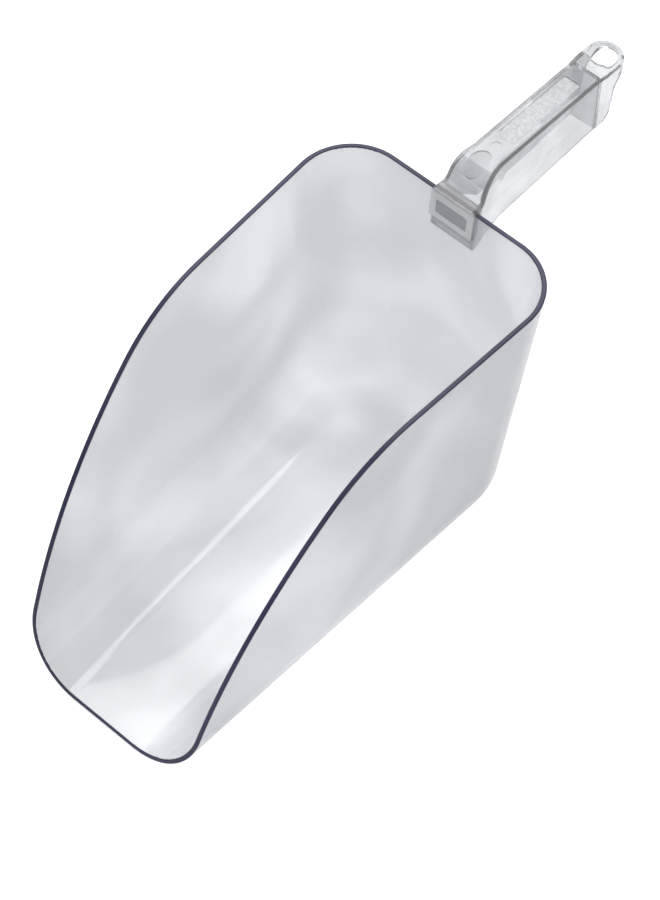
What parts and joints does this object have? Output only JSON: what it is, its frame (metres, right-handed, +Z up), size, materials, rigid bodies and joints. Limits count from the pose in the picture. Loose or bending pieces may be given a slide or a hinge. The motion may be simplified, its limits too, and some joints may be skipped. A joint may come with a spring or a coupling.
{
  "type": "ice scoop",
  "caption": "Clear moulded ice scoop with a deep square-backed bowl, swept side rims and a hollow grip that hooks over the back wall and ends in a hanging loop.",
  "frame": {"origin": "on the surface the bowl stands on, under the middle of the scoop's overall length and width", "axes": "+Z up with the bowl standing on its flat floor, +X across the bowl to the right as seen by the user, +Y along the handle away from the mouth"},
  "size_m": [0.1314, 0.3476, 0.1687],
  "materials": {
    "bowl_plastic": "gloss, transparent, faint grey tint",
    "handle_plastic": "gloss, transparent, water clear"
  },
  "bodies": {
    "root": {"bowl": "bowl_plastic", "handle": "handle_plastic"}
  },
  "joints": []
}
